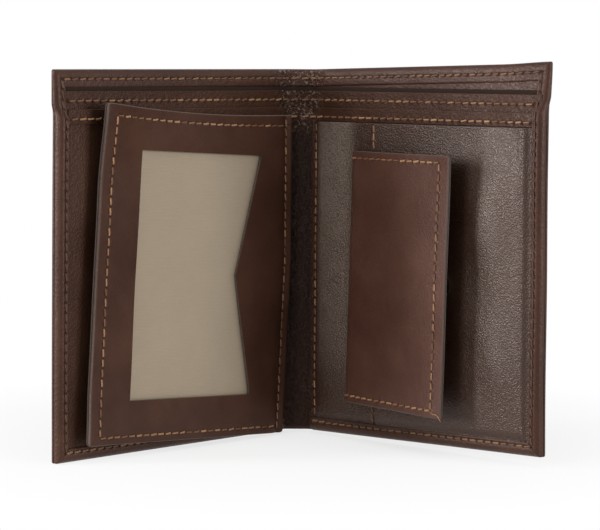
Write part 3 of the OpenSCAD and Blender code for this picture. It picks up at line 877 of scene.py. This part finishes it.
# Window leaf on the left cover, laid out from its hinge seam
leaf = {
    "foot": 7.2,  # s of the hinge at the leaf's lower edge
    "n": 5.35,
    "base": 0.07,
    "lift": math.radians(1.45),
    "tilt": math.radians(3.28),
    "root": 1.6,
    "width": 82.3,
    "height": 105.1,
    "minRoot": 2.3,  # the root stays this far from the crease, so that the wallet can shut
    "hingeMargin": 14.6,
    "freeMargin": 16.1,
    "lowMargin": 13.4,
    "topMargin": 13.9,
    "notch": 8.75,
    "front": 0.9,
    "twill": 0.3,
    "back": 0.7,
    "gap": 0.05,
    "overlap": 2.2,  # the leathers reach past the cloth
    "rimSeam": 4.1,
    "topSeam": 3.6,
    "lowSeam": 2.4,
    "hingeSeam": 1.05,
    "rowStart": 2.6,  # the seams along the top and bottom start this far from the hinge
    "topDip": 1.5,
    "cornerCurl": 1.6,
}
leafStack = leaf["front"] + leaf["twill"] + leaf["back"] + 2 * leaf["gap"]
windowFree = leaf["width"] - leaf["freeMargin"]
windowLow, windowHigh = leaf["lowMargin"], leaf["height"] - leaf["topMargin"]
leafRim = leaf["width"] - leaf["rimSeam"]
leafRows = (leaf["lowSeam"], leaf["height"] - leaf["topSeam"])
leafRootRow = (1.2, leaf["height"] - 1.2)


def leafPinch(u):
    # the hinge seam presses the leaf down
    return 0.55 * bump(u, leaf["hingeSeam"], 1.6)


def leafPlace(u, v, h):
    # u from the hinge, v up, h from the middle of the leaf's thickness towards its front
    arch = np.sin(math.pi * np.clip(u / leaf["width"], 0, 1))
    v2 = v - leaf["topDip"] * arch * smooth(v, 94, leaf["height"])
    curl = leaf["cornerCurl"] * smooth(u, 62, leaf["width"]) * smooth(v, 78, leaf["height"])
    low = 0.8 * smooth(u, 70, leaf["width"]) * (1 - smooth(v, 0, 20))
    belly = 0.5 * arch * np.sin(math.pi * v / leaf["height"])
    h = h + curl + low - belly - leafPinch(u) + 0.22 * waves(u, v, 52, 90) * smooth(u, 3, 15)
    cosTilt, sinTilt = math.cos(leaf["tilt"]), math.sin(leaf["tilt"])
    s = leaf["foot"] + u * math.cos(leaf["lift"]) * cosTilt - v2 * sinTilt
    z = leaf["base"] + v2 * cosTilt + u * sinTilt
    rootS = leaf["foot"] - leaf["root"] - v2 * sinTilt
    s = s + np.maximum(leaf["minRoot"] - rootS, 0) * (1 - smooth(u, 0, 12))
    return place(-1, creaseT + s, leaf["n"] + u * math.sin(leaf["lift"]) + h, z, "level")


def windowSide(v):
    # the window's side towards the hinge, with the thumb notch
    middle, half = (windowLow + windowHigh) / 2, (windowHigh - windowLow) / 2
    return leaf["hingeMargin"] + leaf["notch"] * np.clip(1 - abs(v - middle) / half, 0, 1)


def lean(u, v, u0):
    # the grid's columns lean to follow the notch
    side, margin = windowSide(v), leaf["hingeMargin"]
    fromRoot = (u - u0) / (margin - u0)
    nearer = u + (u0 + fromRoot * (side - u0) - u) * smooth(fromRoot, 0.25, 1.0)
    beyond = side + (u - margin) / (windowFree - margin) * (windowFree - side)
    return np.where(fromRoot <= 1, nearer, np.where(u < windowFree, beyond, u))


def leafDips(u, v):
    dip = seamDip(u - leaf["hingeSeam"], 0.18)
    dip = dip + seamDip(u - leafRim) * ((v > leafRows[0]) & (v < leafRows[1]))
    return dip + sum(seamDip(v - row) for row in leafRows) * (u < leafRim)


def clothRoom(u, v):
    # the cloth stands up a little inside the window
    room = smooth(u, 16, 30) * (1 - smooth(u, windowFree - 12, windowFree - 2))
    room = room * smooth(v, windowLow + 2, windowLow + 14)
    room = room * (1 - smooth(v, windowHigh - 14, windowHigh - 2))
    return room * (0.3 + 0.32 * waves(u * 1.5, v * 0.5, 30, 95))


def clothEdgeShade(u, v):
    # painted shade: the cloth is darker beside the leather, where the window's edge shades it, most
    # along the notched side
    fromSide = np.abs(u - windowSide(v)) * 0.82
    others = np.minimum(np.abs(u - windowFree),
                        np.minimum(np.abs(v - windowLow), np.abs(v - windowHigh)))
    return 0.75 * np.exp(-fromSide / 0.75) + 0.5 * np.exp(-others / 0.35)


def buildLeafSheet(name, low, high, corner, radius, materials):
    # low and high are the sheet's back and front, from the middle of the leaf
    window, cloth = name == "leaf_front_sheet", name == "leaf_twill_sheet"
    margin = leaf["overlap"] if cloth else 0.0
    u0, u1 = -leaf["root"] + margin, leaf["width"] - margin
    v0, v1 = margin, leaf["height"] - margin
    middle, half = (windowLow + windowHigh) / 2, (high - low) / 2
    hinge = gridLines(u0, leaf["hingeMargin"], 1.3, [leaf["hingeSeam"]])
    between = gridLines(leaf["hingeMargin"], windowFree, 1.3 if window else 0.6)
    free = gridLines(windowFree, u1, 1.3, [leafRim])
    below = gridLines(v0, windowLow, 1.3, leafRows[:1])
    beside = np.concatenate([gridLines(windowLow, middle, 1.3),
                             gridLines(middle, windowHigh, 1.3)[1:]])
    above = gridLines(windowHigh, v1, 1.3, leafRows[1:])
    i0, j0 = len(hinge) - 1, len(below) - 1
    hole = (i0, i0 + len(between) - 1, j0, j0 + len(beside) - 1) if window else (0, 0, 0, 0)

    def shape(u, v, distance):
        mid, thick, dip = (low + high) / 2, half, 0
        u2 = lean(u, v, u0) if window else u
        if window:
            # outside the cloth the front leather lies on the back one
            filled = (leaf["twill"] + 2 * leaf["gap"] - 0.03) / 2
            filled = filled * (1 - smooth(distance, 1.6, leaf["overlap"] + 0.1))
            mid, thick, dip = mid - filled, half + filled, leafDips(u, v)
        if cloth:
            mid = mid + clothRoom(u, v)
        thick = thick * edgeProfile(distance, radius)
        place2 = roundCorners(u2, v, (u0, u1, v0, v1), corner)
        return leafPlace(*place2, mid - thick), leafPlace(*place2, mid + thick - dip)

    rows = [("v", row, leaf["rowStart"], leafRim) for row in leafRows]
    rows += [("u", leafRim, *leafRows), ("u", leaf["hingeSeam"], *leafRootRow)]
    obj = slab(name, -1, np.concatenate([hinge, between[1:], free[1:]]),
               np.concatenate([below, beside[1:], above[1:]]), shape, hole=hole,
               cutRim=not cloth, seams=rows, paints={"windowEdgeShade": clothEdgeShade} if cloth else None)
    hingeBlend(obj, "leaf")
    return finishPiece(obj, [name.replace("_sheet", "")], materials)


leafLow = -leafStack / 2
buildLeafSheet("leaf_back_sheet", leafLow, leafLow + leaf["back"], 1.3, 0.33,
               [leafLeather, edgePaint])
twillLow = leafLow + leaf["back"] + leaf["gap"]
twill = buildLeafSheet("leaf_twill_sheet", twillLow, twillLow + leaf["twill"], 1.0, 0.14,
                       [windowTwill])
frontLow = twillLow + leaf["twill"] + leaf["gap"]
buildLeafSheet("leaf_front_sheet", frontLow, frontLow + leaf["front"], 1.3, 0.4,
               [leafLeather, cutLeather])


def rootShape(u, v, distance):
    # the margin under the hinge seam, down to the inner panel
    low, high = 3.2 - leaf["n"], leafLow + 0.25
    mid, thick = (low + high) / 2, (high - low) / 2 * edgeProfile(distance, 0.3)
    return leafPlace(u, v, mid - thick + leafPinch(u)), leafPlace(u, v, mid + thick)


obj = slab("leaf_root_strip", -1, gridLines(-leaf["root"] + 0.3, 1.9, 0.6),
           gridLines(5.0, 101.5, 2.0), rootShape)
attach(obj, "left_cover")
finishPiece(obj, ["leaf_root"], [leafLeather])
print("leaf made")

# Coin flap on the right cover
flap = {
    "slit": 22.4,  # s of the hinge at the flap's upper edge
    "lean": 2.6,  # the hinge comes this much nearer the crease at the lower edge
    "n": 5.925,
    "base": 12.07,
    "lift": math.radians(9.0),
    "width": 47.8,
    "height": 81.9,
    "leather": 0.9,
    "lining": 0.6,
    "gap": 0.05,
    "margin": 0.15,  # the leather reaches past the lining
    "rimSeam": 4.4,
    "endSeam": 2.3,
    "rowStart": 0.6,
    "root": 1.2,
}
flapStack = flap["leather"] + flap["lining"] + flap["gap"]
flapRim = flap["width"] - flap["rimSeam"]
flapRows = (flap["endSeam"], flap["height"] - flap["endSeam"])


def flapPlace(u, v, h):
    across = np.clip(u / flap["width"], 0, 1)
    belly = 0.7 * np.sin(math.pi * across) * (0.6 + 0.4 * np.sin(math.pi * v / flap["height"]))
    h = h + belly + 0.3 * waves(u * 1.3, v * 0.8, 40, 97) * smooth(u, 1, 12)
    root = 1 - smooth(u, -flap["root"], 2.5)
    s = flap["slit"] - flap["lean"] * (1 - v / flap["height"]) + u * math.cos(flap["lift"])
    n = flap["n"] + u * math.sin(flap["lift"]) + h - 1.9 * root
    return place(1, creaseT + s, n, flap["base"] + v, "level")


def buildFlapSheet(name, low, high, radius, nodes, materials):
    sewn = name == "flap_leather_sheet"
    margin = 0.0 if sewn else flap["margin"]
    u0, u1 = -flap["root"], flap["width"] - margin
    v0, v1 = margin, flap["height"] - margin

    def shape(u, v, distance):
        mid, thick, dip = (low + high) / 2, (high - low) / 2 * edgeProfile(distance, radius), 0
        if sewn:
            dip = seamDip(u - flapRim) * ((v > flapRows[0]) & (v < flapRows[1]))
            dip = dip + sum(seamDip(v - row) for row in flapRows) * (u < flapRim)
        place2 = roundCorners(u, v, (u0, u1, v0, v1), 0.9)
        return flapPlace(*place2, mid - thick), flapPlace(*place2, mid + thick - dip)

    rows = [("v", row, flap["rowStart"], flapRim) for row in flapRows] + [("u", flapRim, *flapRows)]
    uLines = denser(gridLines(u0, u1, 1.1, [flapRim] if sewn else []), u0, 3, 0.35)
    obj = slab(name, 1, uLines, gridLines(v0, v1, 1.1, flapRows if sewn else []), shape, cutRim=True,
               seams=rows if sewn else ())
    hingeBlend(obj, "flap")
    return finishPiece(obj, nodes, materials)


flapLow = -flapStack / 2
flapLining = buildFlapSheet("flap_lining_sheet", flapLow, flapLow + flap["lining"], 0.28,
                            ["flap_lining"], [liningCloth, edgePaint])
leatherLow = flapLow + flap["lining"] + flap["gap"]
buildFlapSheet("flap_leather_sheet", leatherLow, leatherLow + flap["leather"], 0.35,
               ["flap_leather", "flap_root"], [flapLeather, edgePaint])
for name in ("stud_post", "stud_cap", "stud_socket"):
    part = frame["nodes"][name]
    part.data.materials.clear()
    part.data.materials.append(brass)
print("flap made")


# Stitches
def tubeFaces(rings, sides):
    # a closed tube round a path
    faces = [(k * sides + m, k * sides + (m + 1) % sides, (k + 1) * sides + (m + 1) % sides,
              (k + 1) * sides + m) for k in range(rings - 1) for m in range(sides)]
    return faces + [tuple(range(sides))[::-1], tuple(range((rings - 1) * sides, rings * sides))]


def buildStitch():
    # one stitch: a short twisted length of thread that dives into the leather at both ends
    rings, sides = thread["rings"], thread["sides"]
    points = []
    for k, m in itertools.product(range(rings), range(sides)):
        f = k / (rings - 1)
        arch = math.sin(math.pi * f)
        turn = 2 * math.pi * m / sides + 2.4 * f
        swell = 0.45 + 0.55 * min(1.0, 2.6 * arch)
        radius = swell / 2 * (1 + 0.13 * math.cos(3 * turn + 11 * f))
        z = thread["height"] * radius * math.sin(turn)
        z += 0.10 * min(1.0, 3 * arch) - 0.16 * (1 - min(1.0, 3 * arch))
        points.append(((f - 0.5) * thread["length"], thread["width"] * radius * math.cos(turn), z))
    obj = makeObject("stitchShape", points, tubeFaces(rings, sides), sharp=70)
    outwards(obj)
    ends = np.repeat(np.abs(np.linspace(-1, 1, rings)), sides)
    paint(obj, "stitchEnd", smooth(ends, 0.72, 1.0))
    return obj


def buildStitchTree():
    # lays stitches along a path, each a little out of line and of its own size and tone
    tree = bpy.data.node_groups.new("sewnSeam", "GeometryNodeTree")
    face = tree.interface
    face.new_socket("Path", in_out="INPUT", socket_type="NodeSocketGeometry")
    for label, kind, value in (("Stitches", "Int", 10), ("Stitch", "Object", None),
                               ("Thread", "Material", None), ("Seed", "Int", 0),
                               ("Wobble", "Float", 0.08), ("Slant", "Float", 0.1),
                               ("Tone", "Float", 0.0)):
        socket = face.new_socket(label, in_out="INPUT", socket_type="NodeSocket" + kind)
        if value is not None:
            socket.default_value = value
    face.new_socket("Seam", in_out="OUTPUT", socket_type="NodeSocketGeometry")
    source, sink = tree.nodes.new("NodeGroupInput").outputs, tree.nodes.new("NodeGroupOutput")
    add, _, times = sums(tree)
    curve = addNode(tree, "GeometryNodeMeshToCurve", {"Mesh": source["Path"]})
    evenly = addNode(tree, "GeometryNodeResampleCurve", {
        "Curve": curve.outputs[0], "Count": source["Stitches"]})
    upward = addNode(tree, "GeometryNodeInputNamedAttribute", {"Name": "surfaceNormal"},
                     data_type="FLOAT_VECTOR").outputs[0]
    lying = addNode(tree, "FunctionNodeAlignRotationToVector", {
        "Vector": tree.nodes.new("GeometryNodeInputTangent").outputs[0]}, axis="X")
    facing = addNode(tree, "FunctionNodeAlignRotationToVector", {
        "Rotation": lying.outputs[0], "Vector": upward}, axis="Z", pivot_axis="X")
    sway = addNode(tree, "FunctionNodeRandomValue", {
        2: times(source["Wobble"], -1.0), 3: source["Wobble"], "Seed": source["Seed"]},
        data_type="FLOAT").outputs[1]
    spin = addNode(tree, "ShaderNodeCombineXYZ", {2: add(sway, source["Slant"])})
    turned = addNode(tree, "FunctionNodeRotateRotation", {
        "Rotation": facing.outputs[0], "Rotate By": spin.outputs[0]}, rotation_space="LOCAL")
    size = addNode(tree, "FunctionNodeRandomValue", {
        0: (0.9, 0.85, 0.85), 1: (1.05, 1.12, 1.1), "Seed": source["Seed"]},
        data_type="FLOAT_VECTOR")
    shape = addNode(tree, "GeometryNodeObjectInfo", {"Object": source["Stitch"]})
    rows = addNode(tree, "GeometryNodeInstanceOnPoints", {
        "Points": evenly.outputs[0], "Instance": shape.outputs["Geometry"],
        "Rotation": turned.outputs[0], "Scale": size.outputs[0]})
    tone = addNode(tree, "FunctionNodeRandomValue", {"Seed": add(source["Seed"], 5.0)},
                   data_type="FLOAT").outputs[1]
    toned = addNode(tree, "GeometryNodeStoreNamedAttribute", {
        "Geometry": rows.outputs[0], "Name": "stitchTone", "Value": add(tone, source["Tone"])},
        data_type="FLOAT", domain="INSTANCE")
    real = addNode(tree, "GeometryNodeRealizeInstances", {"Geometry": toned.outputs[0]})
    coloured = addNode(tree, "GeometryNodeSetMaterial", {
        "Geometry": real.outputs[0], "Material": source["Thread"]})
    tree.links.new(coloured.outputs[0], sink.inputs["Seam"])
    return tree


stitchShape = buildStitch()
stitchTree = buildStitchTree()
socketId = {item.name: item.identifier for item in stitchTree.interface.items_tree
            if item.item_type == "SOCKET" and item.in_out == "INPUT"}
rowNumber = itertools.count(1)


def sewRun(points, normals, material, tone):
    # a row of stitches along a path in mm, as a plain mesh
    points, normals = np.asarray(points), np.asarray(normals)
    spans = np.linalg.norm(np.diff(points, axis=0), axis=1)
    length = float(spans.sum())
    count = stitchCount(length)
    travelled = np.concatenate([[0], np.cumsum(spans)])
    inner = np.linspace(length / count / 2, length - length / count / 2, max(60, count * 3))
    path, face = (np.stack([np.interp(inner, travelled, a[:, k]) for k in range(3)], 1)
                  for a in (points, normals))
    mesh = bpy.data.meshes.new("seamPath")
    mesh.from_pydata([tuple(p) for p in path * mm], [(k, k + 1) for k in range(len(path) - 1)], [])
    layer = mesh.attributes.new("surfaceNormal", "FLOAT_VECTOR", "POINT")
    layer.data.foreach_set("vector", face.ravel())
    obj = link(bpy.data.objects.new("seamPath", mesh))
    modifier = obj.modifiers.new("sewnSeam", "NODES")
    modifier.node_group = stitchTree
    for label, value in (("Stitches", count), ("Stitch", stitchShape), ("Thread", material),
                         ("Seed", next(rowNumber)), ("Tone", tone)):
        modifier[socketId[label]] = value
    bpy.context.view_layer.update()
    made = bpy.data.meshes.new_from_object(obj.evaluated_get(bpy.context.evaluated_depsgraph_get()))
    bpy.data.objects.remove(obj)
    return made


def sewSeam(name, runs, nodes, tones, material=threadTan):
    # joins the rows of one seam into one piece; a negative tone makes a row's thread darker
    work = bmesh.new()
    for (points, normals), tone in zip(runs, tones):
        work.from_mesh(sewRun(points, normals, material, tone))
    mesh = bpy.data.meshes.new(name)
    work.to_mesh(mesh)
    work.free()
    mesh.shade_smooth()
    return finishPiece(link(bpy.data.objects.new(name, mesh)), nodes, [material])


def sheetRun(side, ts, ns, zs, relief=None, follow="low"):
    # a path on a layer or, following in full, on the shell, with the layer's own relief
    ts, ns, zs = np.broadcast_arrays(*(np.asarray(a, float) for a in (ts, ns, zs)))
    if relief is not None:
        ns = ns + relief(ts, zs)
    if follow == "full":
        points = shellPoint(side, ts, ns, zs)
    else:
        points = place(side, ts, ns, zs)
    inwards = place(side, ts, ns + 1.0, zs, follow) - place(side, ts, ns, zs, follow)
    return points, inwards / np.linalg.norm(inwards, axis=-1, keepdims=True)


def hemRun(side, edge, t, z, outside=False):
    # a path on a turned edge of the shell, or on the outside behind it
    n = 0 * t + thread["sink"] if outside else pileAt(edge, t, z) - thread["sink"]
    points, normals = sheetRun(side, t, n, z, follow="full")
    return points, -normals if outside else normals


def pieceRun(placer, us, vs, h):
    us, vs = np.broadcast_arrays(np.asarray(us, float), np.asarray(vs, float))
    points = placer(us, vs, h)
    normals = placer(us, vs, h + 1.0) - points
    return points, normals / np.linalg.norm(normals, axis=-1, keepdims=True)


def span(low, high):
    return low + np.linspace(0, 1, 240) * (high - low)


for side, label in sideName.items():
    (_, topZ, *topEnds), (_, lowZ, *lowEnds), (_, farT, *sideEnds) = shellRows()
    runs = [hemRun(side, "top", span(*topEnds), topZ, outside) for outside in (False, True)]
    obj = sewSeam("seam_top_" + label + "_thread", runs, ["seam_top_" + label, "seams_spine"],
                  [0, 0], threadDim)
    creaseBlend(obj)
    for name, node, face, tone in (("divider", "divider", 2.4, -0.4), ("band", "panel", 3.7, -0.1)):
        run = sheetRun(side, span(0.2, creaseT + cover["seamEnd"]), face - thread["sink"],
                       layers[name]["seam"],
                       lambda t, z, name=name: layerRelief(name, side, t, z))
        node = "seam_" + node + "_" + label
        creaseBlend(sewSeam(node + "_thread", [run], [node], [tone]))
    runs = []
    for outside in (False, True):
        runs += [hemRun(side, "bottom", span(*lowEnds), lowZ, outside),
                 hemRun(side, "side", 0 * span(0, 1) + farT, span(*sideEnds), outside)]
    if side > 0:
        # the seam was locked with a few stitches sewn twice
        back = span(shell["tuckT"] + 0.9, shell["tuckT"] + 7.0)
        runs.append(sheetRun(side, back, pileAt("bottom", back, 0), lowZ + span(0.55, 0.2),
                             follow="full"))
    obj = sewSeam("seam_edge_" + label + "_thread", runs, ["seam_edge_" + label],
                  [0.1, -0.75, 0.1, -0.2, 0.5], threadDim)
    creaseBlend(obj)

for name, sheet in pocketSheets.items():
    seamS, n = sheet["start"] + sheet["seam"], sheet["n"] + pocket["leather"] - thread["sink"]
    runs = []
    for row in sheet["rows"]:
        z = span(*row)
        runs.append(sheetRun(1, creaseT + seamS, n + sheet["relief"](seamS, z), z))
    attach(sewSeam("seam_coin_" + name + "_thread", runs, ["seam_coin_" + name], sheet["tones"]),
            "right_cover")


def rimRuns(placer, start, rim, rows, h):
    # the seams along a leaf's or flap's ends and its free side
    runs = [pieceRun(placer, span(start, rim), row, h) for row in rows]
    return runs + [pieceRun(placer, rim, span(*rows), h)]


top = leafStack / 2 - thread["sink"]
runs = rimRuns(leafPlace, leaf["rowStart"], leafRim, leafRows, top)
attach(sewSeam("seam_leaf_thread", runs, ["seam_leaf"], [-0.25, -0.15, -0.2]), "window_leaf")
run = pieceRun(leafPlace, leaf["hingeSeam"], span(*leafRootRow), top)
hingeBlend(sewSeam("seam_leaf_root_thread", [run], ["seam_leaf_root"], [-0.25]), "leaf")
top = flapStack / 2 - thread["sink"]
runs = rimRuns(flapPlace, flap["rowStart"], flapRim, flapRows, top)
hingeBlend(sewSeam("seam_flap_thread", runs, ["seam_flap"], [0.1, 0.0, -0.2]), "flap")
bpy.data.objects.remove(stitchShape)


def buildTail():
    # the cut end of the flap's thread: how far each point lies beyond the seam's corner
    bends = ((-0.2, -0.1, 0.0), (0.5, -0.5, 0.25), (1.6, -0.9, 0.3), (2.6, -0.8, 0.25),
             (3.6, -1.3, 0.3), (4.1, -2.1, 0.1), (4.4, -3.0, -0.3))
    path = np.array([flapPlace(flapRim + u, flapRows[0] + v, top + h) for u, v, h in bends])
    points, sides, last = [], thread["sides"], len(path) - 1
    for k, here in enumerate(path):
        ahead = Vector(path[min(k + 1, last)] - path[max(k - 1, 0)]).normalized()
        side1 = ahead.cross(Vector((0.3, 0.9, 0.2))).normalized()
        side2 = ahead.cross(side1)
        radius = 0.12 * (0.6 if k in (0, last) else 1.0)
        for m in range(sides):
            turn = 2 * math.pi * m / sides + 0.5 * k
            points.append(Vector(here) + radius * (math.cos(turn) * side1 + math.sin(turn) * side2))
    obj = makeObject("seam_flap_tail", [tuple(p) for p in points], tubeFaces(len(path), sides),
                     sharp=70)
    outwards(obj)
    paint(obj, "stitchTone", np.full(len(points), 0.8))
    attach(obj, "coin_flap")
    finishPiece(obj, ["seam_flap"], [threadTan])


buildTail()
print("seams sewn")

# Camera, lights and floor
view = {
    "place": (-4.74, -746.6, 121.1),
    "yaw": 0.4029,
    "pitch": 5.0532,
    "roll": 0.4423,
    "focalPixels": 2252.8,
    "imageWidth": 600,
    "sensor": 36.0,
}
# Each lamp's place, size and power
lamps = {
    "leftBox": ((-0.87, -0.22, 0.22), (0.22, 0.45), 6.5),
    "leftFront": ((-0.65, -0.75, 0.35), (0.35, 0.5), 3.2),
    "rightBox": ((0.85, -0.55, 0.22), (0.42, 0.7), 6.5),
    "overhead": ((0, -0.2, 1.0), (0.6, 0.6), 3.0),
}
lampTarget = Vector((0, -0.03, 0.06))


def buildCamera():
    data = bpy.data.cameras.new("camera")
    data.sensor_width = view["sensor"]
    data.lens = view["focalPixels"] / view["imageWidth"] * view["sensor"]
    data.clip_start, data.clip_end = 0.01, 20
    yaw, pitch, roll = (math.radians(view[k]) for k in ("yaw", "pitch", "roll"))
    ahead = Vector((math.sin(yaw) * math.cos(pitch), math.cos(yaw) * math.cos(pitch),
                    -math.sin(pitch)))
    right = Vector((math.cos(yaw), -math.sin(yaw), 0))
    up = right.cross(ahead)
    right, up = (right * math.cos(roll) + up * math.sin(roll),
                 up * math.cos(roll) - right * math.sin(roll))
    rows = [(right[k], up[k], -ahead[k], view["place"][k] * mm) for k in range(3)]
    camera = link(bpy.data.objects.new("camera", data))
    camera.matrix_world = Matrix(rows + [(0, 0, 0, 1)])
    bpy.context.scene.camera = camera


def areaLight(name, where, size, power):
    data = bpy.data.lights.new(name, "AREA")
    data.shape = "RECTANGLE"
    data.size, data.size_y = size
    data.energy = power
    obj = link(bpy.data.objects.new(name, data))
    obj.location = where
    obj.rotation_euler = (lampTarget - Vector(where)).to_track_quat("-Z", "Y").to_euler()


def buildWorld(ambient):
    # white behind the object and in its gloss, and a dim light on it
    world = bpy.data.worlds.new("studio")
    world.use_nodes = True
    tree = world.node_tree
    path = tree.nodes.new("ShaderNodeLightPath").outputs
    shown = mathNode(tree, "ADD", path["Is Camera Ray"], path["Is Transmission Ray"], clamp=True)
    shown = mathNode(tree, "ADD", shown, path["Is Glossy Ray"], clamp=True)
    background = tree.nodes["Background"].inputs
    background["Color"].default_value = (1, 1, 1, 1)
    tree.links.new(remap(tree, shown, 0.0, 1.0, ambient, 1.0), background["Strength"])
    bpy.context.scene.world = world


def buildFloor():
    # a pale round floor that keeps the shadow and turns white further out
    level, reach, count = -0.0006, 0.5, 96
    ring = [(reach * math.cos(2 * math.pi * k / count), reach * math.sin(2 * math.pi * k / count),
             level) for k in range(count)]
    mesh = bpy.data.meshes.new("floor")
    mesh.from_pydata(ring, [], [tuple(range(count))])
    material, tree, shader = newMaterial("paleFloor")
    for label, value in (("Base Color", (0.9, 0.9, 0.9, 1)), ("Roughness", 0.9),
                         ("Specular IOR Level", 0.1)):
        shader.inputs[label].default_value = value
    away = addNode(tree, "ShaderNodeVectorMath", {0: objectPlace(tree)},
                   operation="LENGTH").outputs["Value"]
    white = remap(tree, away, 0.05, 0.15, 0.72, 1.0)
    path = tree.nodes.new("ShaderNodeLightPath").outputs
    seen = mathNode(tree, "ADD", path["Is Camera Ray"], path["Is Glossy Ray"], clamp=True)
    glow = addNode(tree, "ShaderNodeEmission", {"Color": (1, 1, 1, 1), "Strength": 1.0})
    both = addNode(tree, "ShaderNodeMixShader", {
        0: mathNode(tree, "MULTIPLY", white, seen), 1: shader.outputs[0], 2: glow.outputs[0]})
    tree.links.new(both.outputs[0], tree.nodes["Material Output"].inputs["Surface"])
    mesh.materials.append(material)
    link(bpy.data.objects.new("floor", mesh))


buildCamera()
for name, settings in lamps.items():
    areaLight(name, *settings)
buildWorld(0.2)
buildFloor()
bpy.context.scene.view_settings.view_transform = "Standard"
print("stage set")
